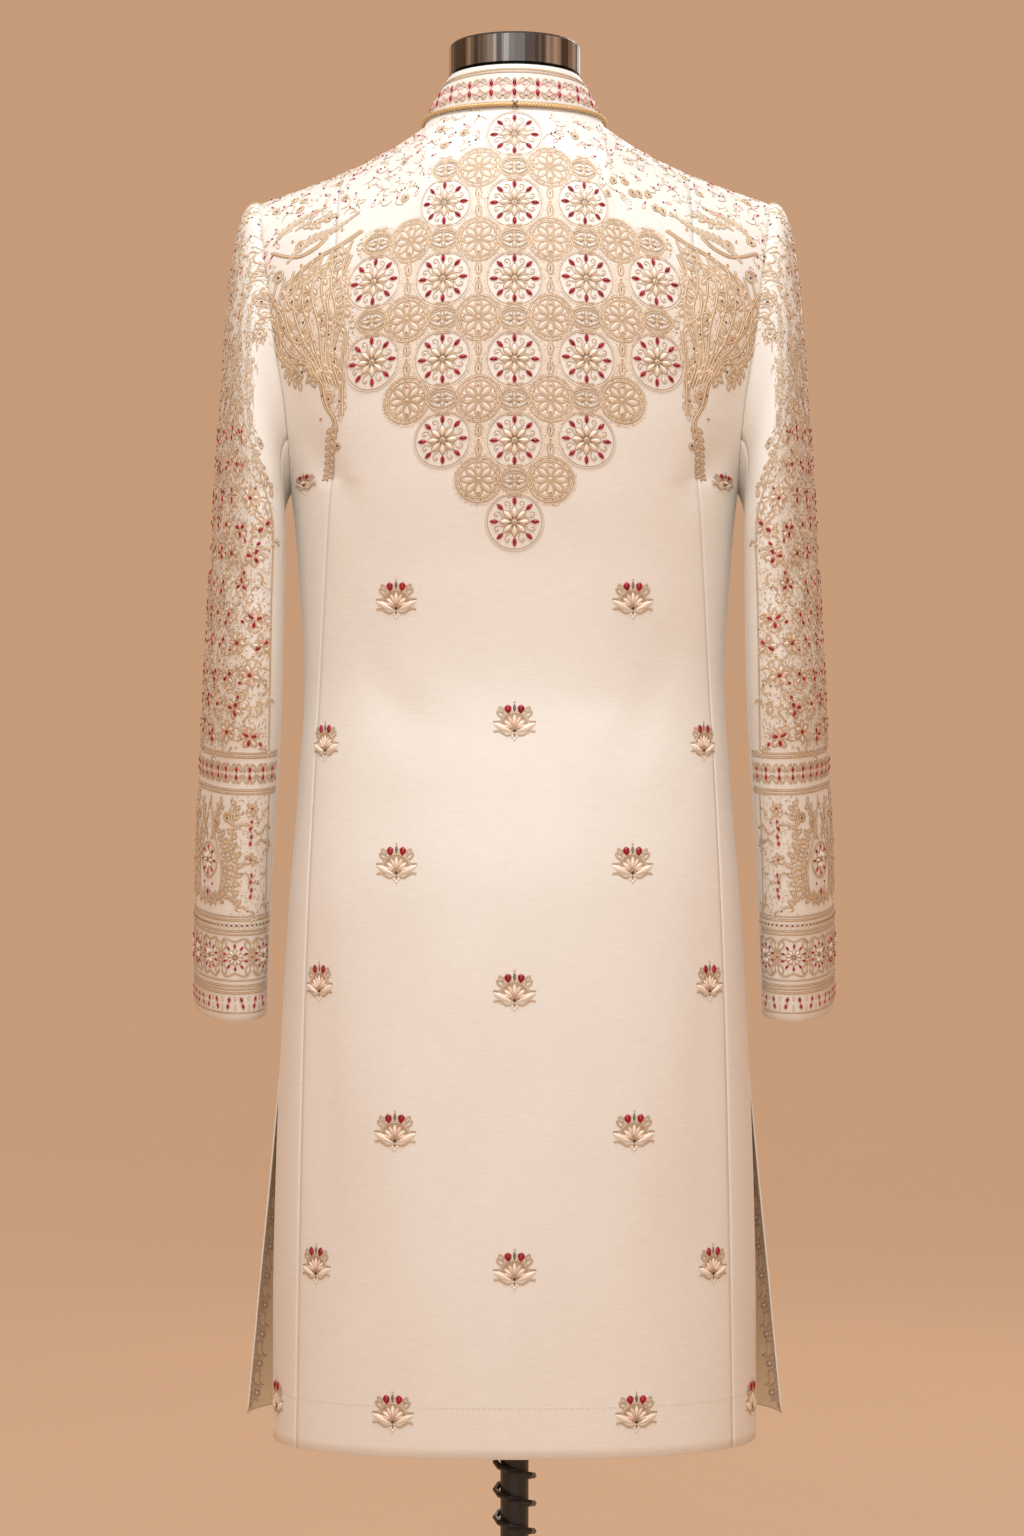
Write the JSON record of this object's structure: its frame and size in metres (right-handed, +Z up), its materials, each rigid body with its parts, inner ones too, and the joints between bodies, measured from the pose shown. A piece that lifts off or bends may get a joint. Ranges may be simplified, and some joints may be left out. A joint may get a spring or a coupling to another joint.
{
  "type": "sherwani coat on dress form",
  "caption": "Knee-length sherwani coat with stand collar, side slits and two-piece sleeves, worn by a limbless dress form on a pole stand with a round base.",
  "frame": {"origin": "middle of the stand's base on the floor", "axes": "+Z up the pole, -Y out of the coat's front, +X to the wearer's left"},
  "size_m": [0.535, 0.4, 1.5635],
  "materials": {
    "coat_cloth": "matte raw silk",
    "gold_cord": "twisted metallic thread",
    "form_cover": "matte knit cover",
    "brushed_steel": "brushed",
    "black_paint": "gloss black paint"
  },
  "bodies": {
    "root": {"back_centre": "coat_cloth", "back_side_left": "coat_cloth", "back_side_right": "coat_cloth", "front_left": "coat_cloth", "front_right": "coat_cloth", "sleeve_top_left": "coat_cloth", "sleeve_top_right": "coat_cloth", "sleeve_under_left": "coat_cloth", "sleeve_under_right": "coat_cloth", "collar": "coat_cloth", "collar_piping": "gold_cord", "button_1": "gold_cord", "button_2": "gold_cord", "button_3": "gold_cord", "button_4": "gold_cord", "button_5": "gold_cord", "button_6": "gold_cord", "button_7": "gold_cord", "form_torso": "form_cover", "neck_cap": "brushed_steel", "neck_block": "black_paint", "pole": "black_paint", "spring": "black_paint", "height_clamp": "black_paint", "spring_seat": "black_paint", "clamp_lever": "black_paint", "base": "black_paint"}
  },
  "joints": []
}
